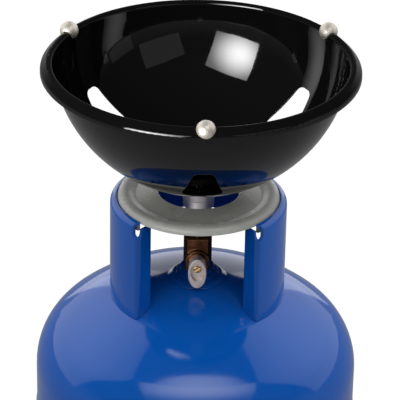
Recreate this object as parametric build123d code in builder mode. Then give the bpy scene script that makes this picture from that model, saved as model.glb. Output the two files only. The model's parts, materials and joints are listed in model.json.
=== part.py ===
from build123d import *
from math import asin, cos, degrees, radians, sin, sqrt
import os

# Burner stand: a black enamelled bowl with three rim balls, clamped on a small gas burner that is
# screwed on the valve of a refillable steel cylinder. Millimetres, +Z up, origin on the floor at
# the cylinder's axis, front (control knob, front ball, front window) towards -Y.

# ---- driving dimensions ------------------------------------------------------------------------------
CYL_R = 150.0            # cylinder outer radius
SHELL_T = 2.5            # cylinder wall
FOOT_CLEAR = 13.0        # lowest point of the bottom head above the floor
WALL_H = 86.0            # straight wall between the two heads
TOP_CROWN_R = 200.0      # crown and knuckle radii of the top head
TOP_KNUCKLE_R = 62.0
BOT_CROWN_R = 240.0      # crown and knuckle radii of the bottom head
BOT_KNUCKLE_R = 40.0

GUARD_R = 81.0           # collar guard, outer radius
GUARD_T = 2.5            # guard sheet
GUARD_FRONT = 41.5       # half-angle of the front opening
FLANGE_R = 63.8          # inner end of the folded-in edges
GUARD_ROLL_R = 6.0       # roll along the guard's top

RING_R = 74.1            # plastic collar ring, outer radius
RING_HOLE_R = 37.3

BOWL_R = 134.1           # bowl, outer radius of its spherical wall
BOWL_T = 1.2             # enamelled sheet
BOWL_FLAT_R = 18.0       # clamped flat at the bottom
BALL_R = 8.5
BALL_POLAR = (136.8, 5.9)      # ball centre: radius from the axis, height above the rim level
TURN = 2.1               # the burner is screwed down this far round from the knob's direction
SPOKES = (TURN, TURN + 120, TURN + 240)   # angles of the balls and windows, from the front

FIT = 0.06               # radial clearance of running fits
SEAT = 0.05              # gap between seated faces


def head_depth(crown, knuckle):
    """Height of a torispherical head above its tangent line."""
    return crown - sqrt((crown - knuckle) ** 2 - (CYL_R - knuckle) ** 2)


# ---- levels worked out from the dimensions above -----------------------------------------------------
BOT_TAN_Z = FOOT_CLEAR + head_depth(BOT_CROWN_R, BOT_KNUCKLE_R)
TOP_TAN_Z = BOT_TAN_Z + WALL_H
DOME_Z = TOP_TAN_Z + head_depth(TOP_CROWN_R, TOP_KNUCKLE_R)    # top of the dome
CROWN_Z = DOME_Z - TOP_CROWN_R                                 # centre of the dome's crown sphere
RIM_Z = TOP_TAN_Z + 303.0                                      # level of the rim's widest circle
GUARD_TOP_Z = RIM_Z - 128.0
RING_LIP_Z = RIM_Z - 130.0
RING_HOLE_Z = RIM_Z - 121.5
BLOCK_LOW_Z = RIM_Z - 200.0                                    # valve block, bottom and top
BLOCK_TOP_Z = RIM_Z - 167.2
SPINDLE_Z = RIM_Z - 187.9
BOWL_C_Z = RIM_Z + 21.8                                        # centre of the bowl's sphere
FLAT_Z = BOWL_C_Z - sqrt(BOWL_R ** 2 - BOWL_FLAT_R ** 2)       # underside of the clamped flat

os.makedirs("parts", exist_ok=True)


def write(name, builder):
    """Label one finished piece and write it as the node of that name."""
    builder.part.label = name
    export_step(builder.part, f"parts/{name}.step")


def dome_at(r):
    """Height of the top head's outer crown at radius r."""
    return CROWN_Z + sqrt(TOP_CROWN_R ** 2 - r ** 2)


def upright(angle):
    """Vertical plane through the axis; local x points outwards at this angle from the front."""
    a = radians(angle - 90)
    return Plane(origin=(0, 0, 0), x_dir=(cos(a), sin(a), 0), z_dir=(sin(a), -cos(a), 0))


def facing(angle, r, z):
    """Vertical plane at radius r that faces outwards at this angle from the front."""
    a = radians(angle)
    return Plane(origin=(r * sin(a), -r * cos(a), z), x_dir=(cos(a), sin(a), 0), z_dir=(sin(a), -cos(a), 0))


def head_section(crown, knuckle, tangent_z, wall_z, hole_r):
    """Draw the closed sheet section of a head and its straight wall, towards wall_z."""
    up = 1 if wall_z < tangent_z else -1
    centre_z = tangent_z - up * sqrt((crown - knuckle) ** 2 - (CYL_R - knuckle) ** 2)
    lean = degrees(asin((CYL_R - knuckle) / (crown - knuckle)))
    ends = []
    for depth in (0.0, SHELL_T):
        hole = degrees(asin(hole_r / (crown - depth)))
        start = CenterArc((0, centre_z), crown - depth, up * (90 - hole), -up * (lean - hole)) @ 0
        CenterArc((CYL_R - knuckle, tangent_z), knuckle - depth, up * (90 - lean), -up * (90 - lean))
        wall = Line((CYL_R - depth, tangent_z), (CYL_R - depth, wall_z))
        ends.append((start, wall @ 1))
    Line(ends[0][0], ends[1][0])
    Line(ends[0][1], ends[1][1])


# ---- cylinder shells and their weld ------------------------------------------------------------------
BUNG_HOLE_R = 20.1
WELD_Z = (TOP_TAN_Z + BOT_TAN_Z) / 2
WELD_HALF = 1.5
WELD_PROUD = 0.9

with BuildPart() as top_shell:
    with BuildSketch(Plane.XZ):
        with BuildLine():
            head_section(TOP_CROWN_R, TOP_KNUCKLE_R, TOP_TAN_Z, WELD_Z + WELD_HALF, BUNG_HOLE_R)
        make_face()
    revolve(axis=Axis.Z)
write("cylinder_top_shell", top_shell)

with BuildPart() as bottom_shell:
    with BuildSketch(Plane.XZ):
        with BuildLine():
            head_section(BOT_CROWN_R, BOT_KNUCKLE_R, BOT_TAN_Z, WELD_Z - WELD_HALF, 0.0)
        make_face()
    revolve(axis=Axis.Z)
write("cylinder_bottom_shell", bottom_shell)

with BuildPart() as girth_weld:
    weld_low = (CYL_R, WELD_Z - WELD_HALF)
    weld_high = (CYL_R, WELD_Z + WELD_HALF)
    with BuildSketch(Plane.XZ):
        with BuildLine():
            ThreePointArc(weld_low, (CYL_R + WELD_PROUD, WELD_Z), weld_high)
            Polyline(weld_high, (CYL_R - SHELL_T, weld_high[1]), (CYL_R - SHELL_T, weld_low[1]), weld_low)
        make_face()
    revolve(axis=Axis.Z)
write("girth_weld", girth_weld)

# ---- foot ring ---------------------------------------------------------------------------------------
FOOT_R = 116.0
FOOT_T = 3.0
FOOT_CURL = 10.0         # width of the flange that rests on the floor
BOT_CROWN_Z = FOOT_CLEAR + BOT_CROWN_R
DRAIN_R = 5.0
DRAIN_Z = 18.0


def bottom_at(r):
    """Height of the bottom head's outer crown at radius r."""
    return BOT_CROWN_Z - sqrt(BOT_CROWN_R ** 2 - r ** 2)


FOOT_TOP_Z = bottom_at(FOOT_R - FOOT_T) - SEAT

with BuildPart() as foot_ring:
    with BuildSketch(Plane.XZ):
        Polygon(
            (FOOT_R, 0), (FOOT_R, FOOT_TOP_Z), (FOOT_R - FOOT_T, FOOT_TOP_Z),
            (FOOT_R - FOOT_T, FOOT_T), (FOOT_R - FOOT_CURL, FOOT_T), (FOOT_R - FOOT_CURL, 0), align=None,
        )
    revolve(axis=Axis.Z)
    fillet(foot_ring.edges().filter_by(GeomType.CIRCLE).group_by(Axis.Z)[0].sort_by(SortBy.RADIUS)[-1], 2.0)
    for spoke in SPOKES:
        with BuildSketch(facing(spoke + 60, FOOT_R - FOOT_CURL, DRAIN_Z)):
            Circle(DRAIN_R)
        extrude(amount=2 * FOOT_CURL, mode=Mode.SUBTRACT)
write("foot_ring", foot_ring)

FOOT_WELD = 4.0
with BuildPart() as foot_weld:
    weld_in = FOOT_R + SEAT
    weld_out = FOOT_R + FOOT_WELD
    with BuildSketch(Plane.XZ):
        Polygon(
            (weld_in, FOOT_TOP_Z - FOOT_WELD), (weld_out, bottom_at(weld_out) - SEAT),
            (weld_in, bottom_at(weld_in) - SEAT), align=None,
        )
    revolve(axis=Axis.Z)
write("foot_weld", foot_weld)

# ---- valve bung: stepped boss welded into the dome ---------------------------------------------------
BUNG_BORE_R = 9.6
BUNG_STEPS = ((23.0, DOME_Z + 1.6), (19.2, DOME_Z + 4.8), (15.6, BLOCK_LOW_Z - SEAT))
BUNG_LOW_Z = DOME_Z - 9.0
BUNG_WELD_R = 27.5

with BuildPart() as valve_bung:
    under_z = DOME_Z - 0.6
    outline = [(BUNG_BORE_R, BUNG_LOW_Z), (BUNG_HOLE_R - SEAT, BUNG_LOW_Z), (BUNG_HOLE_R - SEAT, under_z)]
    for step_r, step_z in BUNG_STEPS:
        outline.append((step_r, under_z))
        outline.append((step_r, step_z))
        under_z = step_z
    outline.append((BUNG_BORE_R, under_z))
    with BuildSketch(Plane.XZ):
        Polygon(*outline, align=None)
    revolve(axis=Axis.Z)
write("valve_bung", valve_bung)

with BuildPart() as bung_weld:
    weld_in = BUNG_STEPS[0][0] + SEAT
    with BuildSketch(Plane.XZ):
        Polygon(
            (weld_in, dome_at(weld_in) + SEAT), (BUNG_WELD_R, dome_at(BUNG_WELD_R) + SEAT),
            (weld_in + 1.6, DOME_Z + 0.4), (weld_in, DOME_Z + 1.0), align=None,
        )
    revolve(axis=Axis.Z)
write("bung_weld", bung_weld)

# ---- collar guard: open-fronted sheet with folded edges, rolled top, rear hand hole ------------------
REAR_W = 118.0           # hand hole: width, top level and corner radius
REAR_TOP_Z = RIM_Z - 181.0
REAR_CORNER = 12.0
NOTCH_R = 5.2            # round-bottomed notch through each fold, under the plastic ring
NOTCH_LOW_Z = GUARD_TOP_Z - 14.0
ROLL_START = GUARD_FRONT + 2.5
GUARD_WALL_Z = GUARD_TOP_Z - GUARD_ROLL_R
GUARD_SWEEP = 360 - 2 * GUARD_FRONT

with BuildPart() as collar_guard:
    with BuildSketch(Plane.XY.offset(DOME_Z - 30)) as guard_plan:
        Circle(GUARD_R)
        Circle(GUARD_R - GUARD_T, mode=Mode.SUBTRACT)
        with BuildLine():
            far = 2 * GUARD_R
            edge = (far * sin(radians(GUARD_FRONT)), -far * cos(radians(GUARD_FRONT)))
            Polyline((0, 0), edge, (-edge[0], edge[1]), close=True)
        make_face(mode=Mode.SUBTRACT)
        for side in (1, -1):
            a = radians(side * GUARD_FRONT)
            with BuildLine():
                along = (sin(a), -cos(a))
                back = (side * GUARD_T * cos(a), side * GUARD_T * sin(a))
                tip = (FLANGE_R * along[0], FLANGE_R * along[1])
                root = ((GUARD_R - 0.9) * along[0], (GUARD_R - 0.9) * along[1])
                Polyline(
                    tip, root, (root[0] + back[0], root[1] + back[1]), (tip[0] + back[0], tip[1] + back[1]),
                    close=True,
                )
            make_face()
        for side in (1, -1):
            a = radians(side * GUARD_FRONT)
            corner = (GUARD_R * sin(a), -GUARD_R * cos(a), 0)
            fillet(guard_plan.vertices().sort_by_distance(corner)[0], 4.0)
    extrude(amount=GUARD_WALL_Z - (DOME_Z - 30))
    with BuildSketch(upright(ROLL_START)):
        with BuildLine():
            roll_c = (GUARD_R - GUARD_ROLL_R, GUARD_WALL_Z)
            outer_arc = CenterArc(roll_c, GUARD_ROLL_R, 0, 90)
            inner_arc = CenterArc(roll_c, GUARD_ROLL_R - GUARD_T, 0, 90)
            Line(outer_arc @ 0, inner_arc @ 0)
            Line(outer_arc @ 1, inner_arc @ 1)
        make_face()
    revolve(axis=Axis.Z, revolution_arc=360 - 2 * ROLL_START)
    with Locations((0, 0, CROWN_Z)):
        Sphere(TOP_CROWN_R + 0.3, mode=Mode.SUBTRACT)
    with BuildSketch(facing(180, GUARD_R / 2, REAR_TOP_Z)):
        with Locations((0, -GUARD_R / 2)):
            RectangleRounded(REAR_W, GUARD_R, REAR_CORNER)
    extrude(amount=GUARD_R, mode=Mode.SUBTRACT)
    for side in (1, -1):
        a = radians(side * (GUARD_FRONT + 1.0))
        notch = (GUARD_R * sin(a), -GUARD_R * cos(a), NOTCH_LOW_Z + NOTCH_R)
        with Locations(notch):
            Sphere(NOTCH_R, mode=Mode.SUBTRACT)
            Cylinder(NOTCH_R, 20, align=(Align.CENTER, Align.CENTER, Align.MIN), mode=Mode.SUBTRACT)
write("collar_guard", collar_guard)

GUARD_WELD_SPANS = ((60, 22), (100, 22), (238, 22), (278, 22))   # start and length, from the front
with BuildPart() as guard_welds:
    for start, length in GUARD_WELD_SPANS:
        with BuildSketch(upright(start)):
            with BuildLine():
                foot_r = GUARD_R - GUARD_T - SEAT
                Polyline(
                    (foot_r, dome_at(foot_r) + SEAT), (foot_r, dome_at(foot_r) + 4.2),
                    (foot_r - 3.0, dome_at(foot_r - 3.0) + SEAT), close=True,
                )
            make_face()
        revolve(axis=Axis.Z, revolution_arc=length)
write("guard_welds", guard_welds)

# ---- collar ring: moulded plastic ring clipped into the guard's top ----------------------------------
RING_VALLEY = (57.5, RING_HOLE_Z - 3.7)
RING_CREST = (66.5, RING_HOLE_Z - 1.2)
RING_SKIRT = (70.6, 73.4)
RING_SKIRT_Z = GUARD_WALL_Z - 5.0
LUG_R = GUARD_R - GUARD_T - 0.3

with BuildPart() as collar_ring:
    with BuildSketch(Plane.XZ):
        with BuildLine():
            hole_top = (RING_HOLE_R + 1.5, RING_HOLE_Z)
            RadiusArc((RING_HOLE_R, RING_HOLE_Z - 1.5), hole_top, 1.5)
            Line(hole_top, RING_VALLEY)
            rise = Spline(RING_VALLEY, RING_CREST, tangents=((1, 0.1), (1, 0)))
            lip = Spline(RING_CREST, (RING_R, RING_LIP_Z + 1.6), tangents=((1, 0), (0, -1)))
            Polyline(
                lip @ 1, (RING_R, RING_LIP_Z), (RING_R - 2.6, RING_LIP_Z), (RING_R - 4.2, RING_LIP_Z + 3.0),
                (RING_CREST[0], RING_CREST[1] - 3.0), (RING_VALLEY[0] + 1.5, RING_VALLEY[1] - 2.8),
                (RING_VALLEY[0] - 1, RING_VALLEY[1] - 2.8), (RING_HOLE_R + 3.2, RING_HOLE_Z - 3.2),
                (RING_HOLE_R + 2.8, RING_HOLE_Z - 8.0), (RING_HOLE_R, RING_HOLE_Z - 8.0),
                (RING_HOLE_R, RING_HOLE_Z - 1.5),
            )
        make_face()
    revolve(axis=Axis.Z)
    with BuildSketch(upright(GUARD_FRONT + 6)):
        with Locations(((RING_SKIRT[0] + RING_SKIRT[1]) / 2, (RING_SKIRT_Z + RING_LIP_Z) / 2 + 1.0)):
            Rectangle(RING_SKIRT[1] - RING_SKIRT[0], RING_LIP_Z - RING_SKIRT_Z + 2.0)
    revolve(axis=Axis.Z, revolution_arc=GUARD_SWEEP - 12)
    for lug in (60, 105, 150, 195, 240, 285):
        with BuildSketch(upright(lug)):
            with BuildLine():
                Polyline(
                    (RING_SKIRT[0] + 1, RING_SKIRT_Z), (RING_SKIRT[1], RING_SKIRT_Z),
                    (LUG_R, RING_SKIRT_Z + 2.6),
                    (LUG_R, RING_SKIRT_Z + 4.2), (RING_SKIRT[0] + 1, RING_SKIRT_Z + 4.2), close=True,
                )
            make_face()
        revolve(axis=Axis.Z, revolution_arc=12)
write("collar_ring", collar_ring)

# ---- valve body: brass block with spindle boss, outlet spigot, shank and relief boss -----------------
BLOCK_W = 26.0
BLOCK_D = 24.0
BLOCK_CHAMFER = 3.8
NECK_W = 22.0
NECK_H = 9.0
BOSS_R = 10.5
BOSS_Y = 17.5            # front face of the spindle boss, distance from the axis
SPIGOT_R = 7.0
SPIGOT_H = 9.0
GAS_WAY_R = 2.5
SPINDLE_R = 3.0
GLAND_R = 6.0
GLAND_DEPTH = 6.5
RELIEF_R = 8.5
RELIEF_Y = 17.0

with BuildPart() as valve_body:
    with BuildSketch(Plane.XY.offset(BLOCK_LOW_Z)):
        RectangleRounded(NECK_W, NECK_W, 1.2)
    extrude(amount=NECK_H)
    with BuildSketch(Plane.XY.offset(BLOCK_LOW_Z + NECK_H)) as block_plan:
        Rectangle(BLOCK_W, BLOCK_D)
        chamfer(block_plan.vertices(), BLOCK_CHAMFER)
    extrude(amount=BLOCK_TOP_Z - BLOCK_LOW_Z - NECK_H)
    chamfer(valve_body.faces().sort_by(Axis.Z)[-1].edges(), 1.2)
    with BuildSketch(Plane.XY.offset(BLOCK_LOW_Z)):
        Circle(BUNG_BORE_R - FIT)
    extrude(amount=BUNG_LOW_Z - 2 - BLOCK_LOW_Z)
    with BuildSketch(Plane.XY.offset(BLOCK_TOP_Z)):
        Circle(SPIGOT_R)
    extrude(amount=SPIGOT_H)
    with BuildSketch(facing(0, BLOCK_D / 2 - 1, SPINDLE_Z)):
        Circle(BOSS_R)
    extrude(amount=BOSS_Y - BLOCK_D / 2 + 1)
    with BuildSketch(facing(180, BLOCK_D / 2 - 1, SPINDLE_Z)):
        Circle(RELIEF_R)
    extrude(amount=RELIEF_Y - BLOCK_D / 2 + 1)
    with BuildSketch(Plane.XY.offset(BUNG_LOW_Z - 2)):
        Circle(GAS_WAY_R)
    extrude(amount=BLOCK_TOP_Z + SPIGOT_H - BUNG_LOW_Z + 2, mode=Mode.SUBTRACT)
    with BuildSketch(facing(0, -4.0, SPINDLE_Z)):
        Circle(SPINDLE_R + FIT)
    extrude(amount=BOSS_Y + 4.0, mode=Mode.SUBTRACT)
    with BuildSketch(facing(0, BOSS_Y - GLAND_DEPTH, SPINDLE_Z)):
        Circle(GLAND_R)
    extrude(amount=GLAND_DEPTH, mode=Mode.SUBTRACT)
write("valve_body", valve_body)


def hexagon(across_flats):
    """Hexagon with two flats square to local x."""
    RegularPolygon(across_flats / 2, 6, major_radius=False, rotation=30)


RELIEF_CAP_AF = 13.0
with BuildPart() as relief_cap:
    with BuildSketch(facing(180, RELIEF_Y + SEAT, SPINDLE_Z)):
        Circle(RELIEF_R - 0.8)
    extrude(amount=1.5)
    with BuildSketch(facing(180, RELIEF_Y + 1.5 + SEAT, SPINDLE_Z)):
        hexagon(RELIEF_CAP_AF)
    extrude(amount=5.0)
    chamfer(relief_cap.faces().sort_by(Axis.Y)[-1].edges(), 0.6)
    with BuildSketch(facing(180, RELIEF_Y + 3.5, SPINDLE_Z)):
        Circle(1.8)
    extrude(amount=6.0, mode=Mode.SUBTRACT)
write("relief_valve_cap", relief_cap)

PACKING_L = 3.0
with BuildPart() as gland_packing:
    with BuildSketch(facing(0, BOSS_Y - GLAND_DEPTH + SEAT, SPINDLE_Z)):
        Circle(GLAND_R - SEAT)
        Circle(SPINDLE_R + FIT, mode=Mode.SUBTRACT)
    extrude(amount=PACKING_L - SEAT)
write("gland_packing", gland_packing)

GLAND_AF = 15.0
GLAND_HEAD = 3.4
with BuildPart() as gland_nut:
    with BuildSketch(facing(0, BOSS_Y - GLAND_DEPTH + PACKING_L + SEAT, SPINDLE_Z)):
        Circle(GLAND_R - SEAT)
    extrude(amount=GLAND_DEPTH - PACKING_L)
    with BuildSketch(facing(0, BOSS_Y + SEAT, SPINDLE_Z)):
        hexagon(GLAND_AF)
    extrude(amount=GLAND_HEAD)
    with BuildSketch(facing(0, BOSS_Y - GLAND_DEPTH, SPINDLE_Z)):
        Circle(SPINDLE_R + FIT)
    extrude(amount=2 * GLAND_DEPTH, mode=Mode.SUBTRACT)
write("gland_nut", gland_nut)

# ---- control knob: eccentric oval on a square-ended spindle, held by a screw -------------------------
KNOB_BACK_Y = 21.8       # distances in front of the axis
KNOB_FACE_Y = 34.0
KNOB_FLOOR_Y = 30.8
KNOB_DROP = 3.6          # oval's centre below the spindle
KNOB_HALF = (8.5, 15.0)
KNOB_BACK_HALF = (8.0, 13.8)
RECESS_HALF = (6.0, 9.0)
RECESS_DROP = 2.2
SQUARE = 4.2
SQUARE_Y = 25.0
SPINDLE_END_Y = 30.2
SCREW_R = 1.5
SCREW_DEPTH = 5.0
SCREW_HEAD_R = 3.4

with BuildPart() as valve_spindle:
    with BuildSketch(facing(0, -1.5, SPINDLE_Z)):
        Circle(SPINDLE_R)
    extrude(amount=SQUARE_Y + 1.5)
    chamfer(valve_spindle.faces().sort_by(Axis.Y)[-1].edges(), 2.0)
    with BuildSketch(facing(0, SQUARE_Y, SPINDLE_Z)):
        Rectangle(SQUARE, SQUARE)
    extrude(amount=SPINDLE_END_Y - SQUARE_Y)
    with BuildSketch(facing(0, SPINDLE_END_Y, SPINDLE_Z)):
        Circle(SCREW_R + SEAT)
    extrude(amount=-SCREW_DEPTH, mode=Mode.SUBTRACT)
write("valve_spindle", valve_spindle)

with BuildPart() as control_knob:
    with BuildSketch(facing(0, KNOB_BACK_Y, SPINDLE_Z - KNOB_DROP)):
        Ellipse(*KNOB_BACK_HALF)
    with BuildSketch(facing(0, KNOB_FACE_Y - 2.0, SPINDLE_Z - KNOB_DROP)):
        Ellipse(*KNOB_HALF)
    loft()
    with BuildSketch(facing(0, KNOB_FACE_Y - 2.0, SPINDLE_Z - KNOB_DROP)):
        Ellipse(*KNOB_HALF)
    extrude(amount=2.0)
    fillet(control_knob.faces().sort_by(Axis.Y)[0].edges(), 1.0)
    with BuildSketch(facing(0, KNOB_FLOOR_Y, SPINDLE_Z - RECESS_DROP)):
        Ellipse(*RECESS_HALF)
    extrude(amount=KNOB_FACE_Y - KNOB_FLOOR_Y, mode=Mode.SUBTRACT)
    with BuildSketch(facing(0, KNOB_BACK_Y, SPINDLE_Z)):
        Circle(SPINDLE_R + SEAT)
    extrude(amount=SQUARE_Y - KNOB_BACK_Y + SEAT, mode=Mode.SUBTRACT)
    with BuildSketch(facing(0, SQUARE_Y, SPINDLE_Z)):
        Rectangle(SQUARE + 2 * SEAT, SQUARE + 2 * SEAT)
    extrude(amount=SPINDLE_END_Y - SQUARE_Y + SEAT, mode=Mode.SUBTRACT)
    with BuildSketch(facing(0, SPINDLE_END_Y, SPINDLE_Z)):
        Circle(SCREW_R + SEAT)
    extrude(amount=KNOB_FLOOR_Y - SPINDLE_END_Y, mode=Mode.SUBTRACT)
write("control_knob", control_knob)

with BuildPart() as knob_screw:
    with BuildSketch(facing(0, SPINDLE_END_Y - SCREW_DEPTH + 0.5, SPINDLE_Z)):
        Circle(SCREW_R)
    extrude(amount=KNOB_FLOOR_Y - SPINDLE_END_Y + SCREW_DEPTH)
    with BuildSketch(facing(0, KNOB_FLOOR_Y + SEAT, SPINDLE_Z)):
        Circle(SCREW_HEAD_R)
    extrude(amount=1.7)
    fillet(knob_screw.faces().sort_by(Axis.Y)[0].edges(), 0.7)
    with BuildSketch(facing(0, KNOB_FLOOR_Y + 0.9, SPINDLE_Z)):
        Rectangle(2 * SCREW_HEAD_R, 0.8, rotation=35)
    extrude(amount=1.5, mode=Mode.SUBTRACT)
write("knob_screw", knob_screw)

# ---- union nut, tailpiece, seal and jet --------------------------------------------------------------
NUT_AF = 18.0
NUT_LOW_Z = BLOCK_TOP_Z + 0.6
SPIGOT_TOP_Z = BLOCK_TOP_Z + SPIGOT_H
SEAL_T = 1.4
SEAL_R = (3.0, 6.6)
TAIL_FLANGE_Z = SPIGOT_TOP_Z + SEAL_T + 2 * SEAT
TAIL_FLANGE_H = 3.5
TAIL_FLANGE_R = 6.9
TAIL_R = 5.0
NUT_SHOULDER_Z = TAIL_FLANGE_Z + TAIL_FLANGE_H + 0.1
NUT_TOP_Z = NUT_SHOULDER_Z + 3.4
TUBE_LOW_Z = NUT_TOP_Z + 0.6
TAIL_TOP_Z = TUBE_LOW_Z + 3.0

with BuildPart() as union_nut:
    with BuildSketch(Plane.XY.offset(NUT_LOW_Z)):
        hexagon(NUT_AF)
    extrude(amount=NUT_TOP_Z - NUT_LOW_Z)
    for level in (0, -1):
        chamfer(union_nut.edges().group_by(Axis.Z)[level], 0.7)
    with BuildSketch(Plane.XY.offset(NUT_LOW_Z)):
        Circle(SPIGOT_R + 0.1)
    extrude(amount=NUT_SHOULDER_Z - NUT_LOW_Z, mode=Mode.SUBTRACT)
    with BuildSketch(Plane.XY.offset(NUT_LOW_Z)):
        Circle(TAIL_R + 0.1)
    extrude(amount=NUT_TOP_Z - NUT_LOW_Z, mode=Mode.SUBTRACT)
write("union_nut", union_nut)

with BuildPart() as tailpiece_seal:
    with BuildSketch(Plane.XY.offset(SPIGOT_TOP_Z + SEAT)):
        Circle(SEAL_R[1])
        Circle(SEAL_R[0], mode=Mode.SUBTRACT)
    extrude(amount=SEAL_T)
write("tailpiece_seal", tailpiece_seal)

with BuildPart() as tailpiece:
    with BuildSketch(Plane.XY.offset(TAIL_FLANGE_Z)):
        Circle(TAIL_FLANGE_R)
    extrude(amount=TAIL_FLANGE_H)
    with BuildSketch(Plane.XY.offset(TAIL_FLANGE_Z)):
        Circle(TAIL_R)
    extrude(amount=TAIL_TOP_Z - TAIL_FLANGE_Z)
    with BuildSketch(Plane.XY.offset(TAIL_FLANGE_Z)):
        Circle(SEAL_R[0])
    extrude(amount=TAIL_TOP_Z - TAIL_FLANGE_Z, mode=Mode.SUBTRACT)
write("burner_tailpiece", tailpiece)

JET_AF = 8.0
JET_H = 4.0
with BuildPart() as gas_jet:
    with BuildSketch(Plane.XY.offset(TAIL_TOP_Z - 2.5)):
        Circle(SEAL_R[0] - SEAT)
    extrude(amount=2.5 + SEAT)
    with BuildSketch(Plane.XY.offset(TAIL_TOP_Z + SEAT / 2)):
        hexagon(JET_AF)
    extrude(amount=JET_H)
    chamfer(gas_jet.faces().sort_by(Axis.Z)[-1].edges(), 0.8)
    with BuildSketch(Plane.XY.offset(TAIL_TOP_Z - 2.5)):
        Circle(0.5)
    extrude(amount=JET_H + 3, mode=Mode.SUBTRACT)
write("gas_jet", gas_jet)

# ---- mixing tube with air holes ----------------------------------------------------------------------
TUBE_R = 8.0
TUBE_IN_R = 6.8
WASHER_Z = FLAT_Z + BOWL_T + SEAT
WASHER_T = 1.6
BASE_Z = WASHER_Z + WASHER_T + SEAT
TUBE_TOP_Z = BASE_Z + 7.0
AIR_HOLE_R = 3.1
AIR_HOLE_Z = TUBE_LOW_Z + 8.4

with BuildPart() as mixing_tube:
    with BuildSketch(Plane.XY.offset(TUBE_LOW_Z)):
        Circle(TUBE_R)
    extrude(amount=TUBE_TOP_Z - TUBE_LOW_Z)
    with BuildSketch(Plane.XY.offset(TUBE_LOW_Z)):
        Circle(TAIL_R + SEAT)
    extrude(amount=4.0, mode=Mode.SUBTRACT)
    with BuildSketch(Plane.XY.offset(TUBE_LOW_Z + 3.0)):
        Circle(TUBE_IN_R)
    extrude(amount=TUBE_TOP_Z - TUBE_LOW_Z, mode=Mode.SUBTRACT)
    for angle in (45, 135):
        with BuildSketch(facing(angle, -2 * TUBE_R, AIR_HOLE_Z)):
            Circle(AIR_HOLE_R)
        extrude(amount=4 * TUBE_R, mode=Mode.SUBTRACT)
write("mixing_tube", mixing_tube)

# ---- bowl clamp: cup nut below, washer above ---------------------------------------------------------
CUP_R = 15.3
CUP_BODY_R = 14.2
CUP_BAND = 17.0          # height of the wider band at the top
CUP_H = 26.5
with BuildPart() as clamp_nut:
    cup_top = FLAT_Z - SEAT
    cup_low = FLAT_Z - CUP_H
    with BuildSketch(Plane.XZ):
        with BuildLine():
            Polyline(
                (CUP_R - 0.8, cup_top), (CUP_R, cup_top - 0.8), (CUP_R, cup_top - CUP_BAND + 0.8),
                (CUP_R - 0.8, cup_top - CUP_BAND), (CUP_BODY_R, cup_top - CUP_BAND),
                (CUP_BODY_R, cup_low + 1.0),
                (CUP_BODY_R - 1.0, cup_low), (TUBE_R + SEAT, cup_low), (TUBE_R + SEAT, cup_top), close=True,
            )
        make_face()
    revolve(axis=Axis.Z)
write("bowl_clamp_nut", clamp_nut)

with BuildPart() as clamp_washer:
    with BuildSketch(Plane.XY.offset(WASHER_Z)):
        Circle(BOWL_FLAT_R - 1.5)
        Circle(TUBE_R + SEAT, mode=Mode.SUBTRACT)
    extrude(amount=WASHER_T)
write("clamp_washer", clamp_washer)

# ---- bowl: spherical wall, rolled rim, three windows -------------------------------------------------
BOWL_IN_R = BOWL_R - BOWL_T
RIM_START = 4.4          # height above the rim level where the wall turns over
RIM_INNER_R = 3.9
RIM_OUTER_R = 4.0
RIM_SLOPE = 5.4
RIM_LIP = 2.0
WINDOW_POLAR = 46.0      # middle of a window, from the bowl's lowest point
WINDOW_TOP = 29.8        # window outline in its own plane
WINDOW_LOW = -29.5
WINDOW_HALF = (9.0, 21.6)
WINDOW_CORNER = (7.0, 16.0)
SHANK_R = 1.25           # ball screws: shank, length above the sheet, head
SHANK_L = 5.0
SHANK_HEAD_R = 2.4


def rim_path():
    """Upper surface of the rim: over the crest, down the 45 degree slope to the lip."""
    lift = degrees(asin((RIM_START - (BOWL_C_Z - RIM_Z)) / BOWL_IN_R))
    wall_r = BOWL_IN_R * cos(radians(lift))
    inward = (-sin(radians(lift)), cos(radians(lift)))
    crest = JernArc((wall_r, RIM_Z + RIM_START), inward, RIM_INNER_R, -(90 + lift))
    shoulder = JernArc(crest @ 1, crest % 1, RIM_OUTER_R, -45)
    slope = Line(shoulder @ 1, shoulder @ 1 + RIM_SLOPE * (shoulder % 1))
    nose = JernArc(slope @ 1, slope % 1, RIM_OUTER_R, -45)
    lip = Line(nose @ 1, nose @ 1 + Vector(0, -RIM_LIP))
    return crest @ 0, lip @ 1, slope @ 0.5


def screw_plane(angle, slope_middle):
    """Plane on a rim slope's middle, square to the slope."""
    a = radians(angle)
    out = (sin(a), -cos(a), 1)
    return Plane(
        origin=(slope_middle.X * out[0], slope_middle.X * out[1], slope_middle.Y),
        x_dir=(cos(a), sin(a), 0), z_dir=out,
    )


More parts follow.
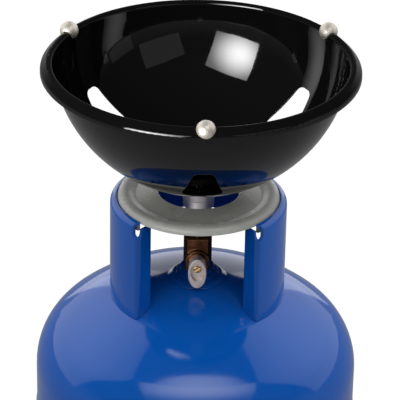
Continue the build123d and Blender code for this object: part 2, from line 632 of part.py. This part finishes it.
with BuildPart() as bowl:
    with BuildSketch(Plane.XZ):
        with BuildLine() as bowl_line:
            slope_mid = rim_path()[2]
            flat_r = BOWL_FLAT_R - 0.2
            low = -degrees(asin(sqrt(BOWL_IN_R ** 2 - flat_r ** 2) / BOWL_IN_R))
            high = degrees(asin((RIM_Z + RIM_START - BOWL_C_Z) / BOWL_IN_R))
            wall = CenterArc((0, BOWL_C_Z), BOWL_IN_R, low, high - low)
            Line((TUBE_R + 0.15, (wall @ 0).Y), wall @ 0)
            offset(amount=BOWL_T, side=Side.RIGHT)
        make_face()
    revolve(axis=Axis.Z)
    for spoke in SPOKES:
        a = radians(spoke)
        p = radians(WINDOW_POLAR)
        normal = Vector(sin(a) * sin(p), -cos(a) * sin(p), -cos(p))
        window_plane = Plane(
            origin=Vector(0, 0, BOWL_C_Z) + (BOWL_R + 4) * normal, x_dir=(cos(a), sin(a), 0), z_dir=normal
        )
        with BuildSketch(window_plane) as window:
            with BuildLine():
                Polyline(
                    (-WINDOW_HALF[0], WINDOW_TOP), (WINDOW_HALF[0], WINDOW_TOP), (WINDOW_HALF[1], WINDOW_LOW),
                    (-WINDOW_HALF[1], WINDOW_LOW), close=True,
                )
            make_face()
            fillet(window.vertices().group_by(Axis.Y)[0], WINDOW_CORNER[1])
            fillet(window.vertices().group_by(Axis.Y)[-1], WINDOW_CORNER[0])
        extrude(amount=-22, mode=Mode.SUBTRACT)
        with BuildSketch(screw_plane(spoke, slope_mid)):
            Circle(SHANK_R + 0.15)
        extrude(amount=3, both=True, mode=Mode.SUBTRACT)
write("bowl", bowl)

# ---- rim balls and their screws ----------------------------------------------------------------------
BALL_NAMES = ("rim_ball_front", "rim_ball_right", "rim_ball_left")

for spoke, ball_name in zip(SPOKES, BALL_NAMES):
    a = radians(spoke)
    with BuildPart() as rim_ball:
        with Locations((BALL_POLAR[0] * sin(a), -BALL_POLAR[0] * cos(a), RIM_Z + BALL_POLAR[1])):
            Sphere(BALL_R)
        with BuildSketch(Plane.XZ):
            with BuildLine():
                rim_start, rim_end, middle = rim_path()
                core_z = RIM_Z - 6
                core_r = sqrt(BOWL_IN_R ** 2 - (BOWL_C_Z - core_z) ** 2)
                bow_r = sqrt(BOWL_IN_R ** 2 - (BOWL_C_Z - RIM_Z) ** 2)
                Polyline(rim_end, (rim_end.X, core_z), (core_r, core_z))
                ThreePointArc((core_r, core_z), (bow_r, RIM_Z), rim_start)
            make_face()
            offset(amount=SEAT, kind=Kind.INTERSECTION)
        revolve(axis=Axis.Z, mode=Mode.SUBTRACT)
        with BuildSketch(screw_plane(spoke, slope_mid)):
            Circle(SHANK_R + SEAT)
        extrude(amount=SHANK_L + 0.5, mode=Mode.SUBTRACT)
    write(ball_name, rim_ball)

with BuildPart() as ball_screws:
    for spoke in SPOKES:
        head_plane = screw_plane(spoke, slope_mid).offset(-BOWL_T - SEAT)
        with BuildSketch(head_plane):
            Circle(SHANK_HEAD_R)
        extrude(amount=-1.6)
        with BuildSketch(head_plane):
            Circle(SHANK_R)
        extrude(amount=SHANK_L + BOWL_T)
write("ball_screws", ball_screws)

# ---- burner base, cap and cap screw ------------------------------------------------------------------
BASE_H = 25.0
BASE_LOW_R = 18.0
BASE_TOP_R = 27.0
BASE_WALL = 3.0
POST_R = 4.5
RIB_W = 3.2
CAP_SCREW_R = 2.0
CAP_R = 30.0
CAP_H = 11.0
CAP_TOP_T = 3.0
CAP_Z = BASE_Z + BASE_H + SEAT
FLAME_SLOTS = 24
FLAME_SLOT = (2.2, 4.4)

with BuildPart() as burner_base:
    with BuildSketch(Plane.XZ):
        Polygon(
            (TUBE_R + SEAT, BASE_Z), (BASE_LOW_R, BASE_Z), (BASE_LOW_R, BASE_Z + 6),
            (BASE_TOP_R, BASE_Z + 19), (BASE_TOP_R, BASE_Z + BASE_H),
            (BASE_TOP_R - BASE_WALL, BASE_Z + BASE_H),
            (BASE_TOP_R - BASE_WALL, BASE_Z + 20.5), (BASE_LOW_R - BASE_WALL, BASE_Z + 8.5),
            (TUBE_R + SEAT, BASE_Z + 8.5), align=None,
        )
    revolve(axis=Axis.Z)
    with BuildSketch(Plane.XY.offset(BASE_Z + 13.5)):
        Circle(POST_R)
        for spoke in SPOKES:
            with Locations(Location((0, 0, 0), (0, 0, spoke))):
                Rectangle(RIB_W, BASE_LOW_R + 2, align=(Align.CENTER, Align.MIN))
    extrude(amount=8.5)
    with BuildSketch(Plane.XY.offset(BASE_Z + 22)):
        Circle(CAP_SCREW_R + SEAT)
    extrude(amount=-7, mode=Mode.SUBTRACT)
write("burner_base", burner_base)

with BuildPart() as burner_cap:
    with BuildSketch(Plane.XZ):
        Polygon(
            (BASE_TOP_R - BASE_WALL + 0.5, CAP_Z), (CAP_R, CAP_Z), (CAP_R, CAP_Z + CAP_H - 2.5),
            (CAP_R - 3.5, CAP_Z + CAP_H), (CAP_SCREW_R + 0.1, CAP_Z + CAP_H),
            (CAP_SCREW_R + 0.1, CAP_Z + CAP_H - CAP_TOP_T), (BASE_TOP_R - BASE_WALL + 0.5, CAP_Z + CAP_H - CAP_TOP_T),
            align=None,
        )
    revolve(axis=Axis.Z)
    with PolarLocations(0, FLAME_SLOTS):
        with Locations((CAP_R - 3, 0, CAP_Z + 2.0 + FLAME_SLOT[1] / 2)):
            Box(14, FLAME_SLOT[0], FLAME_SLOT[1], mode=Mode.SUBTRACT)
write("burner_cap", burner_cap)

with BuildPart() as cap_screw:
    with BuildSketch(Plane.XY.offset(BASE_Z + 15.5)):
        Circle(CAP_SCREW_R)
    extrude(amount=CAP_Z + CAP_H - BASE_Z - 15)
    with BuildSketch(Plane.XY.offset(CAP_Z + CAP_H + SEAT)):
        Circle(4.2)
    extrude(amount=2.8)
    fillet(cap_screw.faces().sort_by(Axis.Z)[-1].edges(), 1.2)
    with BuildSketch(Plane.XY.offset(CAP_Z + CAP_H + 1.6)):
        Rectangle(9, 1.1)
    extrude(amount=2, mode=Mode.SUBTRACT)
write("burner_cap_screw", cap_screw)
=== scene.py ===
import json
from math import atan, cos, pi, radians, sin

import bpy
from mathutils import Matrix, Vector


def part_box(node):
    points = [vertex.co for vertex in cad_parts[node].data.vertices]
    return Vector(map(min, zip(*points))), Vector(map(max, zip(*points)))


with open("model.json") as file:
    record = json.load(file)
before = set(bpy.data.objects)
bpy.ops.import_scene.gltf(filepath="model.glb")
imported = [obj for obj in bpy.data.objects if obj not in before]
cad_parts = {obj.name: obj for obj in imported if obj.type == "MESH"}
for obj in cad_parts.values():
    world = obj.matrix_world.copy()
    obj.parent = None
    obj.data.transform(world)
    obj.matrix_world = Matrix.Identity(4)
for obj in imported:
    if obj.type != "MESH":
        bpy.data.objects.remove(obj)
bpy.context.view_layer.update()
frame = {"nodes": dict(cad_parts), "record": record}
nodes = frame["nodes"]
EDGE_BLUR = 0.0005                 # how far the metals' edges are softened, in metres
EDGE_LOW, EDGE_HIGH = 0.02, 0.25   # bend of the normal where an edge starts, and shows fully
BEVEL_SAMPLES = 6


# ---- node helpers --------------------------------------------------------------------------------
def set_range(node, low, high, to_low, to_high):
    """Fill in the four numbers of a Map Range node."""
    for socket, number in zip(node.inputs[1:5], (low, high, to_low, to_high)):
        socket.default_value = number


class Tree:
    """Short-hand for building one material's node tree. Lengths are in metres."""

    def __init__(self, name):
        self.material = bpy.data.materials.new(name)
        self.material.use_nodes = True
        self.nodes = self.material.node_tree.nodes
        self.links = self.material.node_tree.links
        self.nodes.clear()
        self.output = self.nodes.new("ShaderNodeOutputMaterial")
        self.shader = self.nodes.new("ShaderNodeBsdfPrincipled")
        self.links.new(self.shader.outputs[0], self.output.inputs[0])
        self.place = self.nodes.new("ShaderNodeTexCoord").outputs["Object"]

    def put(self, socket, value):
        """Link a socket, or set a plain value."""
        if isinstance(value, bpy.types.NodeSocket):
            self.links.new(value, socket)
        else:
            socket.default_value = value

    def noise(self, scale, detail=3.0, rough=0.5, stretch=(1, 1, 1), distort=0.0):
        """Soft noise; scale is the number of blotches per metre."""
        mapping = self.nodes.new("ShaderNodeMapping")
        mapping.inputs["Scale"].default_value = stretch
        self.put(mapping.inputs["Vector"], self.place)
        node = self.nodes.new("ShaderNodeTexNoise")
        self.put(node.inputs["Vector"], mapping.outputs[0])
        node.inputs["Scale"].default_value = scale
        node.inputs["Detail"].default_value = detail
        node.inputs["Roughness"].default_value = rough
        node.inputs["Distortion"].default_value = distort
        return node.outputs[0]

    def cells(self, scale):
        """Distance to the nearest of many scattered points."""
        node = self.nodes.new("ShaderNodeTexVoronoi")
        self.put(node.inputs["Vector"], self.place)
        node.inputs["Scale"].default_value = scale
        return node.outputs["Distance"]

    def remap(self, value, low, high, to_low=0.0, to_high=1.0):
        """Map low..high to to_low..to_high, clamped."""
        node = self.nodes.new("ShaderNodeMapRange")
        self.put(node.inputs["Value"], value)
        set_range(node, low, high, to_low, to_high)
        return node.outputs[0]

    def math(self, operation, a, b):
        node = self.nodes.new("ShaderNodeMath")
        node.operation = operation
        self.put(node.inputs[0], a)
        self.put(node.inputs[1], b)
        return node.outputs[0]

    def mix(self, factor, a, b):
        """Mix two colours; sockets 6, 7 and 2 are the node's colour ones."""
        node = self.nodes.new("ShaderNodeMix")
        node.data_type = "RGBA"
        self.put(node.inputs["Factor"], factor)
        self.put(node.inputs[6], a)
        self.put(node.inputs[7], b)
        return node.outputs[2]

    def round_edges(self, radius):
        """Normal with edges softened over a radius."""
        node = self.nodes.new("ShaderNodeBevel")
        node.samples = BEVEL_SAMPLES
        node.inputs["Radius"].default_value = radius
        return node.outputs[0]

    def edge_mask(self, radius):
        """1 along sharp edges, 0 elsewhere."""
        flat = self.nodes.new("ShaderNodeNewGeometry").outputs["Normal"]
        node = self.nodes.new("ShaderNodeVectorMath")
        node.operation = "DOT_PRODUCT"
        self.put(node.inputs[0], self.round_edges(radius))
        self.put(node.inputs[1], flat)
        return self.remap(node.outputs["Value"], 1 - EDGE_LOW, 1 - EDGE_HIGH)

    def bump(self, height, distance, normal=None):
        """Normal bent by a height of 0..1 over a distance, on top of another normal."""
        node = self.nodes.new("ShaderNodeBump")
        node.inputs["Strength"].default_value = 1.0
        node.inputs["Distance"].default_value = distance
        self.put(node.inputs["Height"], height)
        if normal is not None:
            self.put(node.inputs["Normal"], normal)
        return node.outputs[0]

    def finish(self, color, roughness, normal, metallic=0.0, **extra):
        """Set the shader's sockets; extra names sockets with underscores for spaces."""
        self.put(self.shader.inputs["Base Color"], color)
        self.put(self.shader.inputs["Roughness"], roughness)
        self.put(self.shader.inputs["Metallic"], metallic)
        self.put(self.shader.inputs["Normal"], normal)
        for key, value in extra.items():
            self.put(self.shader.inputs[key.replace("_", " ")], value)
        return self.material


def rgb(r, g, b):
    return (r, g, b, 1.0)


# ---- materials -----------------------------------------------------------------------------------
def blue_paint():
    """Glossy blue paint on steel: faint orange peel, soft handling marks, worn corners."""
    t = Tree("blue_paint")
    tone = t.remap(t.noise(9, 4), 0.3, 0.7)
    base = t.mix(tone, rgb(0.001, 0.082, 0.41), rgb(0.002, 0.095, 0.46))
    scuff = t.remap(t.noise(160, 6, 0.7, (1, 1, 0.15), 0.6), 0.68, 0.78)
    base = t.mix(t.math("MULTIPLY", scuff, 0.25), base, rgb(0.10, 0.17, 0.42))
    chips = t.math("MULTIPLY", t.edge_mask(0.0006), t.remap(t.noise(420, 5, 0.7), 0.56, 0.64))
    base = t.mix(chips, base, rgb(0.05, 0.045, 0.05))
    rough = t.remap(t.noise(55, 5, 0.65), 0.25, 0.8, 0.05, 0.14)
    rough = t.math("ADD", rough, t.math("MULTIPLY", scuff, 0.18))
    normal = t.bump(t.noise(330, 2, 0.4), 0.000012, t.round_edges(0.0007))
    return t.finish(base, rough, normal, Specular_IOR_Level=0.55)


def black_enamel():
    """Vitreous black enamel: deep gloss, slight waviness, a little dust."""
    t = Tree("black_enamel")
    dust = t.remap(t.cells(420), 0.1, 0.04)
    dust = t.math("MULTIPLY", dust, t.remap(t.noise(24, 3), 0.5, 0.62))
    glaze, dust_grey = rgb(0.0022, 0.0021, 0.0023), rgb(0.06, 0.06, 0.06)
    base = t.mix(t.math("MULTIPLY", dust, 0.25), glaze, dust_grey)
    rough = t.remap(t.noise(40, 5, 0.65), 0.3, 0.75, 0.015, 0.07)
    wave = t.math("ADD", t.noise(45, 1, 0.3), t.math("MULTIPLY", t.noise(380, 2), 0.06))
    normal = t.bump(wave, 0.00008, t.round_edges(0.0005))
    return t.finish(base, rough, normal, Specular_IOR_Level=0.42)


def grey_plastic():
    """Moulded grey plastic: fine spark-eroded texture, rubbed high spots, paler scratches."""
    t = Tree("grey_plastic")
    tone = t.remap(t.noise(22, 4), 0.3, 0.7)
    base = t.mix(tone, rgb(0.36, 0.365, 0.335), rgb(0.43, 0.435, 0.4))
    scratch = t.remap(t.noise(120, 6, 0.75, (1, 0.1, 1), 1.2), 0.69, 0.76)
    base = t.mix(t.math("MULTIPLY", scratch, 0.5), base, rgb(0.48, 0.48, 0.45))
    grime = t.remap(t.noise(60, 5, 0.7), 0.6, 0.8)
    base = t.mix(t.math("MULTIPLY", grime, 0.35), base, rgb(0.13, 0.13, 0.12))
    rough = t.remap(t.noise(70, 4), 0.3, 0.7, 0.2, 0.32)
    normal = t.bump(t.noise(2600, 2), 0.00002, t.round_edges(0.0008))
    return t.finish(base, rough, normal, Specular_IOR_Level=0.5)


def metal(name, light, dark, rough, grain=900, patina=0.5, grain_depth=0.000008):
    """Bare or plated metal with stained patches, brighter edges and a fine grain."""
    t = Tree(name)
    stain = t.remap(t.noise(120, 5, 0.7), 0.5 - patina / 2, 0.5 + patina / 2)
    base = t.mix(stain, dark, light)
    base = t.mix(t.math("MULTIPLY", t.edge_mask(EDGE_BLUR), 0.6), base, light)
    roughness = t.remap(t.noise(260, 5, 0.65), 0.3, 0.75, rough[0], rough[1])
    normal = t.bump(t.noise(grain, 3, 0.6), grain_depth, t.round_edges(EDGE_BLUR))
    return t.finish(base, roughness, normal, metallic=1.0)


def dark_brass():
    """Tarnished forged brass: reddish brown skin, bare brass where it is rubbed."""
    t = Tree("dark_brass")
    tone = t.remap(t.noise(300, 5, 0.7), 0.35, 0.65)
    skin = t.mix(tone, rgb(0.075, 0.026, 0.014), rgb(0.17, 0.07, 0.035))
    rubbed = t.math("MAXIMUM", t.edge_mask(0.0009), t.remap(t.noise(140, 5, 0.7), 0.64, 0.74))
    base = t.mix(t.math("MULTIPLY", rubbed, 0.75), skin, rgb(0.72, 0.47, 0.22))
    rough = t.remap(t.noise(200, 4), 0.3, 0.7, 0.22, 0.42)
    normal = t.bump(t.noise(900, 4, 0.65), 0.00006, t.round_edges(0.0008))
    return t.finish(base, rough, normal, metallic=0.85)


def knob_paint():
    """Pinkish grey metallic lacquer on the die-cast knob, rubbed on its edges."""
    t = Tree("knob_paint")
    tone = t.remap(t.noise(180, 4), 0.35, 0.65)
    base = t.mix(tone, rgb(0.5, 0.43, 0.4), rgb(0.62, 0.55, 0.52))
    base = t.mix(t.math("MULTIPLY", t.edge_mask(0.0005), 0.6), base, rgb(0.75, 0.68, 0.66))
    rough = t.remap(t.noise(300, 4), 0.3, 0.7, 0.3, 0.48)
    normal = t.bump(t.noise(1800, 3), 0.00002, t.round_edges(0.0006))
    return t.finish(base, rough, normal, metallic=0.35)


def cast_iron():
    """Sand-cast iron with a matt, heat-stained skin."""
    t = Tree("cast_iron")
    tone = t.remap(t.noise(90, 5), 0.35, 0.65)
    base = t.mix(tone, rgb(0.03, 0.029, 0.03), rgb(0.075, 0.06, 0.05))
    rough = t.remap(t.noise(240, 4), 0.3, 0.7, 0.5, 0.75)
    normal = t.bump(t.noise(1400, 5, 0.7), 0.00018, t.round_edges(0.001))
    return t.finish(base, rough, normal, metallic=0.6)


def rubber():
    """Black rubber with a dull bloom."""
    t = Tree("rubber")
    tone = t.remap(t.noise(400, 4), 0.4, 0.7)
    base = t.mix(tone, rgb(0.012, 0.012, 0.013), rgb(0.035, 0.034, 0.033))
    rough = t.remap(t.noise(500, 3), 0.3, 0.7, 0.6, 0.85)
    return t.finish(base, rough, t.bump(t.noise(2500, 3), 0.00003))


BALLS = ("rim_ball_front", "rim_ball_left", "rim_ball_right")
ball_steel = metal(
    "ball_steel", rgb(0.88, 0.83, 0.75), rgb(0.66, 0.61, 0.54), (0.5, 0.62), grain=1500, patina=0.6,
    grain_depth=0.00003,
)
MATERIAL_OF_SLOT = {
    "blue_paint": blue_paint(),
    "black_enamel": black_enamel(),
    "grey_plastic": grey_plastic(),
    "valve_brass": dark_brass(),
    "brass": metal("brass", rgb(0.8, 0.57, 0.28), rgb(0.42, 0.24, 0.1), (0.2, 0.36)),
    "steel": metal("steel", rgb(0.64, 0.62, 0.6), rgb(0.42, 0.4, 0.38), (0.22, 0.38)),
    "knob_metal": knob_paint(),
    "nickel": metal("nickel", rgb(0.95, 0.88, 0.85), rgb(0.72, 0.66, 0.63), (0.42, 0.55)),
    "rubber": rubber(),
    "cast_iron": cast_iron(),
}

for subpart in frame["record"]["subparts"]:
    name = subpart["node"]
    nodes[name].data.materials.clear()
    nodes[name].data.materials.append(
        ball_steel if name in BALLS else MATERIAL_OF_SLOT[subpart["material_slot"]]
    )

# ---- stage: pale floor, soft boxes, world --------------------------------------------------------
FLOOR_RADIUS = 14
FLOOR_GREY = 0.6
FLOOR_GLOW = (0.25, 1.0)           # strength for the object, and as the camera sees it
HORIZON_LEVEL, SKY_LEVEL = 0.35, 0.08
SKY_STARTS = 0.3                   # height on the unit sphere where the sky is fully dark
RIM_CREST = 0.0078                 # how far the rim's crest rises above its widest circle
BOWL_NODES = ("bowl", "burner_cap", "burner_base", "burner_cap_screw", "clamp_washer")
blue_nodes = [
    part["node"] for part in frame["record"]["subparts"] if part["material_slot"] == "blue_paint"
]
rim_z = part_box("bowl")[1].z - RIM_CREST


def seen_by_camera(tree):
    """1 for what the camera looks at directly, 0 for light and reflections."""
    return tree.nodes.new("ShaderNodeLightPath").outputs["Is Camera Ray"]


def make_floor():
    """Pale studio floor that glows a little, so that it looks even."""
    bpy.ops.mesh.primitive_circle_add(
        vertices=96, radius=FLOOR_RADIUS, fill_type="NGON", location=(0, 0, 0)
    )
    floor = bpy.context.object
    floor.name = "studio_floor"
    t = Tree("studio_floor")
    glow = t.nodes.new("ShaderNodeMapRange")
    t.put(glow.inputs["Value"], seen_by_camera(t))
    set_range(glow, 0.0, 1.0, *FLOOR_GLOW)
    t.put(t.shader.inputs["Emission Strength"], glow.outputs[0])
    t.shader.inputs["Emission Color"].default_value = rgb(1, 1, 1)
    t.shader.inputs["Specular IOR Level"].default_value = 0.0
    t.shader.inputs["Roughness"].default_value = 1.0
    t.shader.inputs["Base Color"].default_value = rgb(FLOOR_GREY, FLOOR_GREY, FLOOR_GREY)
    floor.data.materials.append(t.material)


def toward(azimuth, elevation):
    """Unit vector; azimuth 0 is the front (-Y), positive towards +X."""
    a, e = radians(azimuth), radians(elevation)
    return Vector((sin(a) * cos(e), -cos(a) * cos(e), sin(e)))


def soft_box(name, aim, distance, size, radiance, lit, roll=0.0, gloss=True, glow=None):
    """Rectangular area light that faces the bowl's rim and lights one group of nodes.

    aim: azimuth and elevation. gloss: it shows in reflections. glow: arguments for soften.
    """
    light = bpy.data.lights.new(name, "AREA")
    light.shape = "RECTANGLE"
    light.size, light.size_y = size
    light.energy = radiance * pi * size[0] * size[1]
    if glow:
        soften(light, *glow)
    lamp = bpy.data.objects.new(name, light)
    back = toward(*aim)
    turn = Matrix.Rotation(radians(roll), 3, "Z")
    lamp.rotation_euler = (back.to_track_quat("Z", "Y").to_matrix() @ turn).to_euler()
    lamp.location = Vector((0, 0, rim_z)) + distance * back
    lamp.visible_camera = False
    lamp.visible_glossy = gloss
    bpy.context.scene.collection.objects.link(lamp)
    lamp.light_linking.receiver_collection = lit


def soften(light, spot, reach, edge_level):
    """Make an area light brightest at spot (0..1 across and up), fading to edge_level at reach."""
    light.use_nodes = True
    tree = light.node_tree
    emission = next(node for node in tree.nodes if node.type == "EMISSION")
    where = tree.nodes.new("ShaderNodeNewGeometry").outputs["Parametric"]
    gap = tree.nodes.new("ShaderNodeVectorMath")
    gap.operation = "DISTANCE"
    tree.links.new(where, gap.inputs[0])
    gap.inputs[1].default_value = (*spot, 0)
    fade = tree.nodes.new("ShaderNodeMapRange")
    fade.interpolation_type = "SMOOTHSTEP"
    tree.links.new(gap.outputs["Value"], fade.inputs["Value"])
    set_range(fade, 0.0, reach, 1.0, edge_level)
    tree.links.new(fade.outputs[0], emission.inputs["Strength"])


def group(name, members):
    """Collection of the nodes that a light is meant for."""
    collection = bpy.data.collections.new(name)
    for member in sorted(members):
        collection.objects.link(nodes[member])
    return collection


def light_bowl():
    """Two windows and a faint card that mirror in the enamel."""
    lit = group("bowl_set", BOWL_NODES)
    key_glow = ((0.36, 0.42), 0.75, 0.12)
    soft_box("key_box", (-30, 29.5), 1.37, (0.94, 0.76), 29.0, lit, roll=-4, glow=key_glow)
    soft_box("fill_box", (37, 24.6), 1.41, (0.9, 0.48), 0.35, lit, roll=4)
    soft_box("side_card", (73, 7.7), 1.45, (0.6, 0.45), 0.22, lit)


def light_fittings():
    """Low front light for ring, valve, knob and nut, and a stronger one for the balls."""
    lit = group("fittings_set", set(nodes) - set(BOWL_NODES) - set(blue_nodes))
    soft_box("front_box", (-30, 2), 1.5, (1.3, 0.9), 3.6, lit)
    soft_box("high_box", (30, 52), 1.5, (0.9, 0.8), 4.0, lit, glow=((0.5, 0.5), 0.75, 0.2))
    soft_box("ball_box", (-42, 0), 1.5, (0.8, 0.6), 9.5, group("ball_set", BALLS))


def light_cylinder():
    """Walls and a top box that mirror in the paint, and unseen light that fills its colour."""
    lit = group("cylinder_set", set(nodes) - set(BOWL_NODES))
    wall_glow = ((0.5, 0.5), 0.75, 0.4)
    soft_box("left_wall", (-125, 30), 1.6, (2.8, 2.3), 1.25, lit, glow=wall_glow)
    soft_box("right_wall", (125, 30), 1.6, (2.8, 2.3), 1.15, lit, glow=wall_glow)
    soft_box("back_wall", (180, 3), 1.8, (1.7, 1.1), 0.95, lit)
    soft_box("room_light", (0, 50), 1.8, (3.2, 2.0), 0.2, lit, gloss=False)
    painted = group("blue_set", blue_nodes)
    soft_box("top_box", (3, 50), 1.4, (2.1, 0.98), 3.6, painted, glow=((0.5, 0.66), 0.72, 0.08))
    soft_box("left_glow", (-80, 8), 1.6, (2.0, 1.6), 1.0, painted, gloss=False)
    soft_box("right_glow", (80, 8), 1.6, (2.0, 1.6), 1.0, painted, gloss=False)


def make_world():
    """Grey studio: bright towards the horizon, dark overhead; plain white behind the object."""
    world = bpy.data.worlds.new("studio")
    bpy.context.scene.world = world
    world.use_nodes = True
    tree = world.node_tree
    tree.nodes.clear()
    out = tree.nodes.new("ShaderNodeOutputWorld")
    background = tree.nodes.new("ShaderNodeBackground")
    tree.links.new(background.outputs[0], out.inputs[0])
    place = tree.nodes.new("ShaderNodeTexCoord")
    split = tree.nodes.new("ShaderNodeSeparateXYZ")
    tree.links.new(place.outputs["Generated"], split.inputs[0])
    fade = tree.nodes.new("ShaderNodeMapRange")
    tree.links.new(split.outputs["Z"], fade.inputs["Value"])
    set_range(fade, 0.0, SKY_STARTS, HORIZON_LEVEL, SKY_LEVEL)
    camera_ray = tree.nodes.new("ShaderNodeLightPath").outputs["Is Camera Ray"]
    strength = tree.nodes.new("ShaderNodeMath")
    strength.operation = "MAXIMUM"
    tree.links.new(fade.outputs[0], strength.inputs[0])
    tree.links.new(camera_ray, strength.inputs[1])
    tree.links.new(strength.outputs[0], background.inputs["Strength"])


make_floor()
light_bowl()
light_fittings()
light_cylinder()
make_world()

# ---- camera --------------------------------------------------------------------------------------
SENSOR = 36.0                      # width, in millimetres, as is the focal length
FOCAL = 225.0
IMAGE = 400                        # width and height of the image
FOCAL_PX = FOCAL / SENSOR * IMAGE
CAMERA_ELEVATION = 24.75           # above the rim's centre
CAMERA_DISTANCE = 2.2275
CLIP_END = 60
RIM_AT = (198.6, 68.15)            # the rim's centre in the image, before the roll
ROLL = -1.1                        # about the image's middle


def make_camera():
    """Camera in front of the object that looks down on it."""
    data = bpy.data.cameras.new("camera")
    data.lens = FOCAL
    data.sensor_width = SENSOR
    data.clip_end = CLIP_END
    camera = bpy.data.objects.new("camera", data)
    bpy.context.scene.collection.objects.link(camera)
    bpy.context.scene.camera = camera
    down = radians(CAMERA_ELEVATION) + atan((IMAGE / 2 - RIM_AT[1]) / FOCAL_PX)
    swing = atan((RIM_AT[0] - IMAGE / 2) / FOCAL_PX)
    forward = Vector((0, cos(down), -sin(down)))
    up = Vector((0, sin(down), cos(down)))
    side = Vector((1, 0, 0)) * cos(swing) + forward * sin(swing)
    lean = radians(ROLL)
    x_axis = side * cos(lean) + up * -sin(lean)
    y_axis = side * sin(lean) + up * cos(lean)
    rotation = Matrix((x_axis, y_axis, x_axis.cross(y_axis))).transposed()
    camera.location = Vector((0, 0, rim_z)) + CAMERA_DISTANCE * toward(0, CAMERA_ELEVATION)
    camera.rotation_euler = rotation.to_euler()


make_camera()

view = bpy.context.scene.view_settings
view.view_transform = "Standard"
view.look = "None"
view.exposure = 0.0
view.gamma = 1.0
